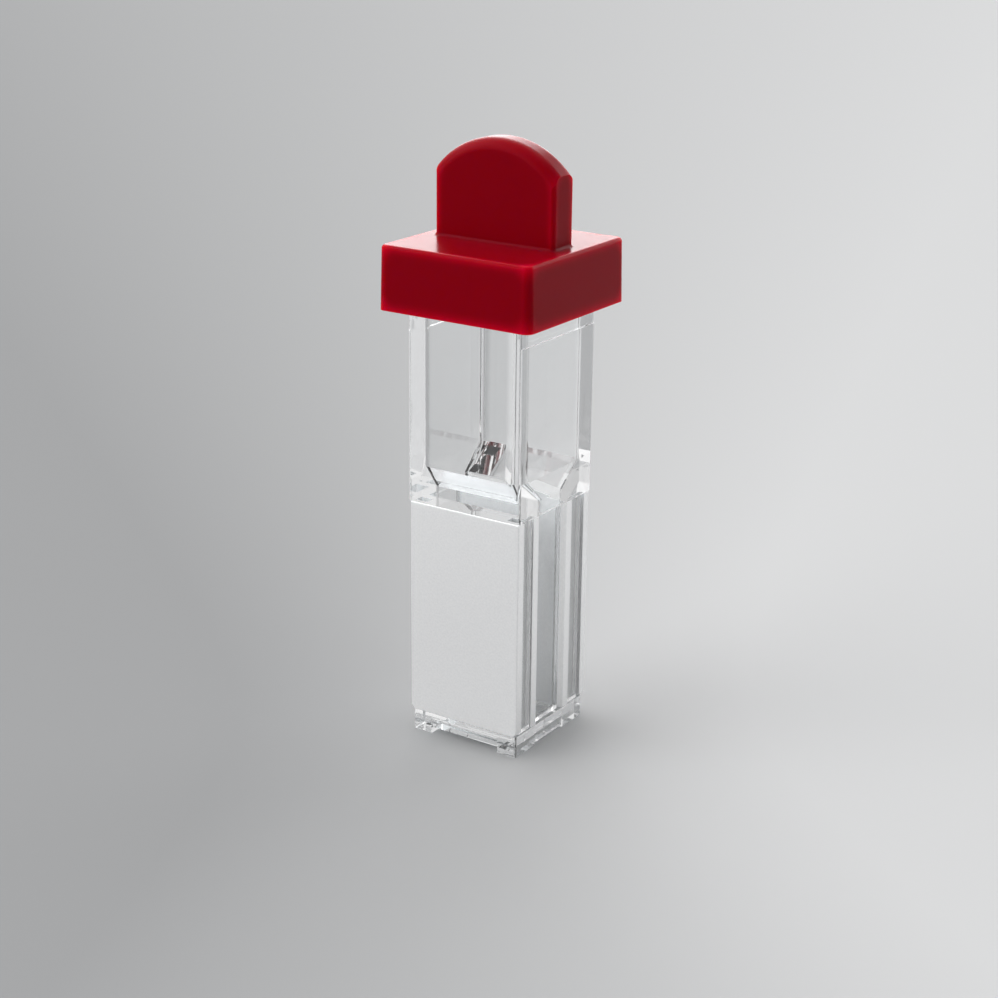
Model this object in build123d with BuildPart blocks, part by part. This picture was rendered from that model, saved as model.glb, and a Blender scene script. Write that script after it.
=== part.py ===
"""Electroporation cuvette: a clear square body, two moulded-in electrodes and a push-on cap.

Lengths are in millimetres and angles in degrees. +Z is up, the front electrode faces -Y, and the
origin is at the centre of the base, on the plane that the feet stand on.
"""
import os
from math import radians, tan

from build123d import *

os.makedirs("parts", exist_ok=True)

# Clear body, outside
body_width = 12.5
body_height = 46.2
body_corner_radius = 0.25
rim_radius = 0.2
cap_relief_depth = 0.2  # the two window sides are set back a little where the cap slides on
cap_relief_height = 5.95

# Clear body, inside: a square reservoir, a funnel and a narrow chamber
reservoir_wall = 1.25
reservoir_corner_radius = 0.8
funnel_slope = 38.0
lip_height = 1.1  # straight throat between the funnel and the tops of the electrodes
window_wall = 0.77
chamber_corner_radius = 0.5
chamber_floor_height = 2.25
chamber_floor_radius = 0.45

# Base and its four feet
base_inset = 0.3
base_height = 2.2
foot_width = 2.1
foot_length = 3.4
foot_height = 0.55
rail_relief = 0.2
foot_edge_radius = 0.15
front_setback = 0.3  # the base's four faces are set back between the feet
side_setback = 0.15
setback_height = 1.6

# Electrodes: an extruded H section, cut to length
electrode_gap = 4.0
electrode_length = 21.5
electrode_inset = 0.12  # how far the contact faces lie inside the body's sides
contact_plate = 0.9
inner_plate = 1.35
inner_plate_setback = 0.18  # the inner plates are a little narrower than the contact plates
web_width = 9.0
gap_chamfer = 0.45
corner_chamfer = 0.4
plate_edge_radius = 0.12

# How the clear plastic sits round the electrodes
seam = 0.03
window_recess = 0.38
groove_recess = 0.15

# Cap
cap_overlap = 3.9
cap_fit = 0.1
cap_seat_clearance = 0.02
skirt_wall = 1.89
skirt_draft = 1.4
cap_plate = 2.1
cap_corner_radius = 0.8
cap_edge_radius = 0.35
mouth_chamfer = 0.25

# Grip fin on the cap
fin_inset = 1.77
fin_thickness = 3.3
fin_shoulder = 6.6
fin_rise = 9.5
fin_edge_radius = 0.4
fin_rim_radius = 1.05
fin_root_radius = 0.3

# How far a cut runs past the face it opens
overrun = 1.0

# Electrode layout, worked out from the body's middle plane outwards
electrode_width = body_width - 2 * electrode_inset
inner_plate_width = electrode_width - 2 * inner_plate_setback
contact_face = body_width / 2 - electrode_inset
contact_plate_middle = contact_face - contact_plate / 2
inner_plate_back = electrode_gap / 2 + inner_plate
inner_plate_middle = electrode_gap / 2 + inner_plate / 2
groove_width = contact_face - contact_plate - inner_plate_back
groove_middle = inner_plate_back + groove_width / 2
electrode_bottom = base_height + seam
electrode_top = electrode_bottom + electrode_length

# Inside of the body
shoulder_height = electrode_top + seam
reservoir_width = body_width - 2 * reservoir_wall
window_face = inner_plate_width / 2 - window_recess
chamber_width = 2 * (window_face - window_wall)
funnel_bottom = shoulder_height + lip_height
funnel_top = funnel_bottom + (reservoir_width - electrode_gap) / 2 * tan(radians(funnel_slope))

# Plastic that fills the electrodes' side grooves and locks them in
fill_face = inner_plate_width / 2 - groove_recess
fill_length = fill_face - web_width / 2 - seam
fill_middle = fill_face - fill_length / 2

# Base and cap
base_width = body_width - 2 * base_inset
socket_width = body_width + 2 * cap_fit
socket_corner_radius = body_corner_radius + cap_fit
cap_width = socket_width + 2 * skirt_wall
skirt_bottom = body_height - cap_overlap
cap_ceiling = body_height + cap_seat_clearance
cap_top = cap_ceiling + cap_plate

# The fin's arch is part of a disc that passes through both shoulders and the crown
fin_width = cap_width - 2 * fin_inset
fin_arch = fin_rise - fin_shoulder
fin_disc_radius = ((fin_width / 2) ** 2 + fin_arch ** 2) / (2 * fin_arch)
fin_disc_height = cap_top + fin_rise - fin_disc_radius

# Shape of the space inside the body, as one plug: chamber, funnel and reservoir
with BuildPart() as inner_space:
    with BuildSketch(Plane.XY.offset(chamber_floor_height)):
        RectangleRounded(chamber_width, electrode_gap, chamber_corner_radius)
    extrude(amount=funnel_bottom - chamber_floor_height)
    fillet(inner_space.faces().sort_by(Axis.Z)[0].edges(), radius=chamber_floor_radius)
    with BuildSketch(Plane.XY.offset(funnel_bottom)):
        RectangleRounded(chamber_width, electrode_gap, chamber_corner_radius)
    with BuildSketch(Plane.XY.offset(funnel_top)):
        RectangleRounded(reservoir_width, reservoir_width, reservoir_corner_radius)
    loft()
    with BuildSketch(Plane.XY.offset(funnel_top)):
        RectangleRounded(reservoir_width, reservoir_width, reservoir_corner_radius)
    extrude(amount=body_height + overrun - funnel_top)

# Clear moulding
with BuildPart() as cuvette_body:
    # Base block, rounded underneath
    with BuildSketch():
        RectangleRounded(base_width, base_width, body_corner_radius)
    extrude(amount=base_height)
    fillet(cuvette_body.faces().sort_by(Axis.Z)[0].edges(), radius=foot_edge_radius)

    # Channel from front to rear leaves two rails, and a shallow relief leaves each rail two feet
    with BuildSketch(Plane.XZ):
        Rectangle(base_width - 2 * foot_width, 2 * foot_height)
    extrude(amount=base_width / 2 + overrun, both=True, mode=Mode.SUBTRACT)
    with BuildSketch(Plane.YZ):
        Rectangle(base_width - 2 * foot_length, 2 * rail_relief)
    extrude(amount=base_width / 2 + overrun, both=True, mode=Mode.SUBTRACT)

    # Faces between the feet, set back
    with BuildSketch():
        with GridLocations(0, 2 * base_width - 2 * front_setback, 1, 2):
            Rectangle(base_width - 2 * foot_width, base_width)
        with GridLocations(2 * base_width - 2 * side_setback, 0, 2, 1):
            Rectangle(base_width, base_width - 2 * foot_length)
    extrude(amount=setback_height, mode=Mode.SUBTRACT)

    # Wall between the electrodes, and the fills that lock into their side grooves
    with BuildSketch(Plane.XY.offset(base_height)):
        Rectangle(2 * window_face, electrode_gap - 2 * seam)
        with GridLocations(2 * fill_middle, 2 * groove_middle, 2, 2):
            Rectangle(fill_length, groove_width - 2 * seam)
    extrude(amount=shoulder_height - base_height)

    # Square tube from the shoulder to the rim
    with BuildSketch(Plane.XY.offset(shoulder_height)):
        RectangleRounded(body_width, body_width, body_corner_radius)
    extrude(amount=body_height - shoulder_height)

    # Hollow inside, with the rim's edges rounded
    add(inner_space.part, mode=Mode.SUBTRACT)
    fillet(cuvette_body.faces().sort_by(Axis.Z)[-1].edges(), radius=rim_radius)

    # Relief under the cap on the two window sides
    relief_middle = body_height + overrun - (cap_relief_height + overrun) / 2
    with BuildSketch(Plane.XZ):
        with GridLocations(2 * body_width - 2 * cap_relief_depth, 0, 2, 1):
            with Locations((0, relief_middle)):
                Rectangle(body_width, cap_relief_height + overrun)
    extrude(amount=body_width / 2 + overrun, both=True, mode=Mode.SUBTRACT)

# Front electrode: contact plate, web and inner plate in one extrusion
with BuildPart() as front_electrode:
    with BuildSketch(Plane.XY.offset(electrode_bottom)):
        with Locations((0, -contact_plate_middle)):
            Rectangle(electrode_width, contact_plate)
        with Locations((0, -groove_middle)):
            Rectangle(web_width, groove_width)
        with Locations((0, -inner_plate_middle)):
            Rectangle(inner_plate_width, inner_plate)
    extrude(amount=electrode_length)
    gap_edges = front_electrode.edges().filter_by(Axis.Z).group_by(Axis.Y)[-1]
    chamfer(gap_edges, length=gap_chamfer)
    bottom_edges = front_electrode.edges().filter_by(Axis.Y).group_by(Axis.Z)[0]
    chamfer(bottom_edges.group_by(Axis.Y)[0], length=corner_chamfer)
    fillet(front_electrode.faces().sort_by(Axis.Y)[0].edges(), radius=plate_edge_radius)

# Rear electrode: the same extrusion, turned round
with BuildPart() as rear_electrode:
    add(front_electrode.part, rotation=(0, 0, 180))

# Slab with an arched top, straight sides below it and a rounded rim, which gives the fin its arch
with BuildPart() as arched_slab:
    with BuildSketch(Plane.XZ):
        with Locations((0, fin_disc_height)):
            Circle(fin_disc_radius)
            Rectangle(2 * fin_disc_radius, fin_disc_radius, align=(Align.CENTER, Align.MAX))
    extrude(amount=fin_thickness / 2, both=True)
    fillet(arched_slab.edges().filter_by(GeomType.CIRCLE), radius=fin_rim_radius)

# Grip fin: an upright slab with eased corners, kept inside the arched one
with BuildPart() as fin:
    with BuildSketch(Plane.XY.offset(cap_ceiling)):
        RectangleRounded(fin_width, fin_thickness, fin_edge_radius)
    extrude(amount=cap_plate + fin_rise)
    add(arched_slab.part, mode=Mode.INTERSECT)

# Cap: drafted skirt, socket over the rim, and the grip fin
with BuildPart() as cap:
    with BuildSketch(Plane.XY.offset(skirt_bottom)):
        RectangleRounded(cap_width, cap_width, cap_corner_radius)
    extrude(amount=cap_top - skirt_bottom, taper=skirt_draft)
    fillet(cap.faces().sort_by(Axis.Z)[-1].edges(), radius=cap_edge_radius)

    # Fin, with a small radius at its root
    add(fin.part)
    root_edges = (
        cap.edges()
        .filter_by_position(Axis.X, -fin_width / 2 - fin_root_radius, fin_width / 2 + fin_root_radius)
        .filter_by_position(Axis.Y, -fin_thickness / 2 - fin_root_radius, fin_thickness / 2 + fin_root_radius)
        .filter_by_position(Axis.Z, cap_top - fin_root_radius, cap_top + fin_root_radius)
    )
    fillet(root_edges, radius=fin_root_radius)

    # Socket with an eased mouth
    with BuildSketch(Plane.XY.offset(skirt_bottom)):
        RectangleRounded(socket_width, socket_width, socket_corner_radius)
    extrude(amount=cap_ceiling - skirt_bottom, mode=Mode.SUBTRACT)
    mouth = cap.faces().sort_by(Axis.Z)[0].inner_wires()[0]
    chamfer(mouth.edges(), length=mouth_chamfer)

for piece, label in (
    (cuvette_body, "cuvette_body"),
    (front_electrode, "front_electrode"),
    (rear_electrode, "rear_electrode"),
    (cap, "cap"),
):
    piece.part.label = label
    export_step(piece.part, f"parts/{label}.step")
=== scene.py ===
"""Electroporation cuvette: finishes, floor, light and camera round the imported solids. Metres."""
from math import cos, radians, sin

import bpy
from mathutils import Matrix, Vector

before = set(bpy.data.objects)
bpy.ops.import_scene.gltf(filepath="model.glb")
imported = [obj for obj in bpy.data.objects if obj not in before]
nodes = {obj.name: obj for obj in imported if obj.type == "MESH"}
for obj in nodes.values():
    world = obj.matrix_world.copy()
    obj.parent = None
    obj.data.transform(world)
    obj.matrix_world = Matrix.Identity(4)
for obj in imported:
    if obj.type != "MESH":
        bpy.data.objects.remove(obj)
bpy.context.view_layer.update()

MM = 0.001

# Camera: where it stands round the object, and how it is framed on a square picture
camera_azimuth = radians(33.48)
camera_elevation = radians(19.16)
camera_roll = radians(0.61)
camera_distance = 190.78 * MM
look_at = Vector((0, 0, 22 * MM))
camera_slide_right = -0.11 * MM
camera_slide_up = 1.27 * MM
camera_sensor = 36.0
camera_lens = 72.01

# Floor, paler to one side with a painted pool of light
floor_size = 6.0
floor_drop = 0.02 * MM
floor_pale = (0.285, 0.288, 0.292, 1)
# Painted light: the floor is coloured paler towards the back right, as a pool of light there
floor_painted_light = (0.525, 0.528, 0.532, 1)
painted_light_towards = (0.8, 0.6, 0)
floor_fade = 50 * MM  # how far from the object the painted pool of light spreads out
floor_turn = 0.8  # how far round from the middle each way the change to the painted pool runs

# Red moulding
red_deep = (0.24, 0.0005, 0.006, 1)
# Painted light: edges and thin parts are coloured brighter red, standing in for light glowing through
# the thin plastic
red_painted_glow = (0.62, 0.001, 0.024, 1)
red_shine = (1.0, 0.15, 0.22, 1)
red_glow_reach = 1.75 * MM  # how far from an edge the painted glow of lit thin plastic reaches
red_softness = 2.5 * MM  # how far light runs inside it
red_roughness = (0.20, 0.26)
red_skin_per_metre = 700
red_skin_height = 0.02 * MM

# Aluminium
metal_dull = (0.85, 0.855, 0.86, 1)
metal_bright = (0.95, 0.95, 0.95, 1)
metal_roughness = (0.48, 0.60)
metal_lines_per_metre = 3000
metal_lines_stretch = (1, 1, 0.02)
metal_grain_per_metre = 5200
metal_relief = 0.008 * MM

# Clear plastic
clear_tint = (0.985, 0.992, 0.995, 1)
clear_white = (0.998, 0.999, 1.0, 1)
clear_shade = (0.9, 0.92, 0.93, 1)  # light that has come through it
clear_ior = 1.585
clear_roughness = (0.0, 0.03)
clear_haze_per_metre = 900
clear_waves_per_metre = 240
clear_waves_height = 0.1 * MM

# Light: a pale sky that brightens upwards, and soft patches in it (direction, half width, level)
sky_low = 0.18
sky_high = 0.40
patch_outer_share = 1.4  # a patch fades out between these shares of its half width
patch_inner_share = 0.6
patches = (
    ((-0.40, -0.05, 0.90), 42.0, 1.4),
    ((-0.55, -0.75, 0.36), 24.0, 2.8),
    ((-0.52, 0.79, 0.36), 20.0, 3.2),
    ((0.25, 0.93, 0.20), 20.0, 2.6),
)

# Pale backdrop, as the camera, the clear walls and the shiny surfaces see it
seen_pale = 0.37  # at the horizon, where it meets the two sides of the floor, the paler one with its painted pool of light
seen_paler = 0.72
seen_high = 1.0
seen_from = 0.20
seen_to = 0.62


def start_material(name):
    """A new node material, with its node tree, Principled shader and Object coordinates."""
    material = bpy.data.materials.new(name)
    material.use_nodes = True
    tree = material.node_tree
    shader = tree.nodes["Principled BSDF"]
    place = tree.nodes.new("ShaderNodeTexCoord").outputs["Object"]
    return material, tree, shader, place


def noise(tree, place, per_metre, detail=2.0, stretch=(1, 1, 1)):
    """Noise of so many features per metre, stretched along the axes; gives its Factor output."""
    mapping = tree.nodes.new("ShaderNodeMapping")
    mapping.inputs["Scale"].default_value = stretch
    tree.links.new(place, mapping.inputs["Vector"])
    texture = tree.nodes.new("ShaderNodeTexNoise")
    texture.inputs["Scale"].default_value = per_metre
    texture.inputs["Detail"].default_value = detail
    tree.links.new(mapping.outputs["Vector"], texture.inputs["Vector"])
    return texture.outputs["Fac"]


def between(tree, factor, low, high, from_low=0.2, from_high=0.8):
    """Spreads a value over the range low to high."""
    spread = tree.nodes.new("ShaderNodeMapRange")
    spread.inputs["From Min"].default_value = from_low
    spread.inputs["From Max"].default_value = from_high
    spread.inputs["To Min"].default_value = low
    spread.inputs["To Max"].default_value = high
    tree.links.new(factor, spread.inputs["Value"])
    return spread.outputs["Result"]


def colours(tree, factor, first, second):
    """Runs from the first colour to the second as the factor rises."""
    ramp = tree.nodes.new("ShaderNodeValToRGB")
    ramp.color_ramp.elements[0].position = 0.2
    ramp.color_ramp.elements[0].color = first
    ramp.color_ramp.elements[1].position = 0.8
    ramp.color_ramp.elements[1].color = second
    tree.links.new(factor, ramp.inputs["Fac"])
    return ramp.outputs["Color"]


def bump(tree, height, depth, strength, under=None):
    """Bumps a surface by a height factor, on top of another bump where one is given."""
    node = tree.nodes.new("ShaderNodeBump")
    node.inputs["Strength"].default_value = strength
    node.inputs["Distance"].default_value = depth
    tree.links.new(height, node.inputs["Height"])
    if under:
        tree.links.new(under, node.inputs["Normal"])
    return node.outputs["Normal"]


def along(tree, vector, direction):
    """How far a vector reaches in a direction."""
    node = tree.nodes.new("ShaderNodeVectorMath")
    node.operation = "DOT_PRODUCT"
    node.inputs[1].default_value = Vector(direction).normalized()
    tree.links.new(vector, node.inputs[0])
    return node.outputs["Value"]


def combine(tree, operation, first, second):
    """One Math node between two values of the tree."""
    node = tree.nodes.new("ShaderNodeMath")
    node.operation = operation
    tree.links.new(first, node.inputs[0])
    tree.links.new(second, node.inputs[1])
    return node.outputs["Value"]


def pick(tree, factor, first, second):
    """The first value where the factor is 0, and the second where it is 1."""
    node = tree.nodes.new("ShaderNodeMix")
    tree.links.new(factor, node.inputs["Factor"])
    tree.links.new(first, node.inputs["A"])
    tree.links.new(second, node.inputs["B"])
    return node.outputs["Result"]


def red_plastic():
    """Glossy red moulding with a slightly soft inside, a faint skin texture, and a painted glow that
    colours its edges brighter red.
    """
    material, tree, shader, place = start_material("red_plastic")
    skin = noise(tree, place, red_skin_per_metre)
    # Painted light: inside occlusion finds the edges and thin parts, and they are coloured the brighter
    # glow red
    inside = tree.nodes.new("ShaderNodeAmbientOcclusion")
    inside.inside = True
    inside.samples = 16
    inside.inputs["Distance"].default_value = red_glow_reach
    tree.links.new(colours(tree, inside.outputs["AO"], red_painted_glow, red_deep), shader.inputs["Base Color"])
    tree.links.new(between(tree, skin, *red_roughness), shader.inputs["Roughness"])
    tree.links.new(bump(tree, skin, red_skin_height, 0.08), shader.inputs["Normal"])
    shader.inputs["IOR"].default_value = 1.5
    shader.inputs["Specular IOR Level"].default_value = 0.08
    shader.inputs["Specular Tint"].default_value = red_shine
    shader.inputs["Subsurface Weight"].default_value = 0.9
    shader.inputs["Subsurface Radius"].default_value = (1.0, 0.03, 0.03)
    shader.inputs["Subsurface Scale"].default_value = red_softness
    return material


def aluminium():
    """Satin extruded metal: upright drawing lines and a fine grain."""
    material, tree, shader, place = start_material("aluminium")
    lines = noise(tree, place, metal_lines_per_metre, stretch=metal_lines_stretch)
    grain = noise(tree, place, metal_grain_per_metre, detail=3.0)
    shader.inputs["Metallic"].default_value = 1.0
    tree.links.new(colours(tree, grain, metal_dull, metal_bright), shader.inputs["Base Color"])
    tree.links.new(between(tree, grain, *metal_roughness), shader.inputs["Roughness"])
    drawn = bump(tree, lines, metal_relief, 0.15)
    tree.links.new(bump(tree, grain, metal_relief, 0.25, drawn), shader.inputs["Normal"])
    return material


def clear_plastic():
    """Water-clear moulding with faintly wavy walls. Lamps shine through it onto what is behind."""
    material, tree, shader, place = start_material("clear_plastic")
    waves = noise(tree, place, clear_waves_per_metre, detail=1.0)
    haze = noise(tree, place, clear_haze_per_metre, detail=3.0)
    tree.links.new(colours(tree, waves, clear_tint, clear_white), shader.inputs["Base Color"])
    tree.links.new(between(tree, haze, *clear_roughness), shader.inputs["Roughness"])
    tree.links.new(bump(tree, waves, clear_waves_height, 0.12), shader.inputs["Normal"])
    shader.inputs["IOR"].default_value = clear_ior
    shader.inputs["Transmission Weight"].default_value = 1.0
    passes = tree.nodes.new("ShaderNodeBsdfTransparent")
    passes.inputs["Color"].default_value = clear_shade
    path = tree.nodes.new("ShaderNodeLightPath")
    choose = tree.nodes.new("ShaderNodeMixShader")
    tree.links.new(path.outputs["Is Shadow Ray"], choose.inputs["Fac"])
    tree.links.new(shader.outputs["BSDF"], choose.inputs[1])
    tree.links.new(passes.outputs["BSDF"], choose.inputs[2])
    tree.links.new(choose.outputs["Shader"], tree.nodes["Material Output"].inputs["Surface"])
    return material


def painted_light_side(tree, side):
    """Rises from 0 to 1 round to the side of the floor with the painted pool of light."""
    fade = between(tree, side, 0.0, 1.0, -floor_turn, floor_turn)
    fade.node.interpolation_type = "SMOOTHSTEP"
    return fade


def floor_finish():
    """Plain pale matt floor with a painted pool of light that makes it paler to one side, so that the
    clear walls stand out.
    """
    material, tree, shader, place = start_material("pale_floor")
    away = tree.nodes.new("ShaderNodeVectorMath")
    away.operation = "LENGTH"
    tree.links.new(place, away.inputs[0])
    reach = between(tree, away.outputs["Value"], floor_fade, floor_fade + floor_size, 0.0, floor_size)
    side = combine(tree, "DIVIDE", along(tree, place, painted_light_towards), reach)
    shade = colours(tree, painted_light_side(tree, side), floor_pale, floor_painted_light)
    tree.links.new(shade, shader.inputs["Base Color"])
    shader.inputs["Roughness"].default_value = 0.9
    shader.inputs["Specular IOR Level"].default_value = 0.0
    return material


def dress(node, material):
    """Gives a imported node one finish."""
    slots = nodes[node].data.materials
    slots.clear()
    slots.append(material)


def make_floor():
    """A wide plane just under the feet."""
    bpy.ops.object.select_all(action="DESELECT")
    bpy.ops.mesh.primitive_plane_add(size=floor_size, location=(0, 0, -floor_drop))
    floor = bpy.context.object
    floor.name = "floor"
    floor.data.materials.append(floor_finish())


def soft_world():
    """Pale sky that brightens upwards, the backdrop in front of it, and soft patches of light."""
    world = bpy.data.worlds.new("soft_world")
    world.use_nodes = True
    tree = world.node_tree
    way = tree.nodes.new("ShaderNodeTexCoord").outputs["Generated"]
    height = along(tree, way, (0, 0, 1))
    path = tree.nodes.new("ShaderNodeLightPath").outputs
    straight = combine(tree, "MAXIMUM", path["Is Camera Ray"], path["Is Transmission Ray"])
    looks = combine(tree, "MAXIMUM", straight, path["Is Glossy Ray"])
    sky = between(tree, height, sky_low, sky_high, 0.0, 1.0)
    # The backdrop's horizon takes the floor's painted pool of light, so the two meet without a seam
    side = along(tree, way, painted_light_towards)
    horizon = between(tree, painted_light_side(tree, side), seen_pale, seen_paler)
    backdrop = between(tree, height, 0.0, seen_high, seen_from, seen_to)
    tree.links.new(horizon, backdrop.node.inputs["To Min"])
    plain = pick(tree, looks, sky, backdrop)
    lit = plain
    for direction, half_width, level in patches:
        outside = cos(radians(patch_outer_share * half_width))
        inside = cos(radians(patch_inner_share * half_width))
        spot = between(tree, along(tree, way, direction), 0.0, level, outside, inside)
        spot.node.interpolation_type = "SMOOTHSTEP"
        lit = combine(tree, "ADD", lit, spot)
    tree.links.new(pick(tree, straight, lit, plain), tree.nodes["Background"].inputs["Strength"])
    tree.nodes["Background"].inputs["Color"].default_value = (1, 1, 1, 1)
    bpy.context.scene.world = world


def place_camera():
    """Stands the camera round the object, rolled and slid a little as the picture is framed."""
    back = Vector((
        sin(camera_azimuth) * cos(camera_elevation),
        -cos(camera_azimuth) * cos(camera_elevation),
        sin(camera_elevation),
    ))
    level_right = Vector((cos(camera_azimuth), sin(camera_azimuth), 0))
    level_up = back.cross(level_right)
    right = level_right * cos(camera_roll) + level_up * sin(camera_roll)
    up = level_up * cos(camera_roll) - level_right * sin(camera_roll)
    bpy.ops.object.camera_add()
    camera = bpy.context.object
    camera.data.sensor_width = camera_sensor
    camera.data.lens = camera_lens
    turn = Matrix((right, up, back)).transposed().to_4x4()
    stand = look_at + back * camera_distance + right * camera_slide_right + up * camera_slide_up
    camera.matrix_world = Matrix.Translation(stand) @ turn
    camera.data.clip_start = 0.01
    camera.data.clip_end = 20.0
    bpy.context.scene.camera = camera


dress("cap", red_plastic())
metal = aluminium()
dress("front_electrode", metal)
dress("rear_electrode", metal)
dress("cuvette_body", clear_plastic())

make_floor()
soft_world()
place_camera()
bpy.context.scene.view_settings.view_transform = "Standard"

# Light runs along inside the clear walls, so it is followed through many reflections
bpy.context.scene.cycles.max_bounces = 24
bpy.context.scene.cycles.glossy_bounces = 20
bpy.context.scene.cycles.transmission_bounces = 20
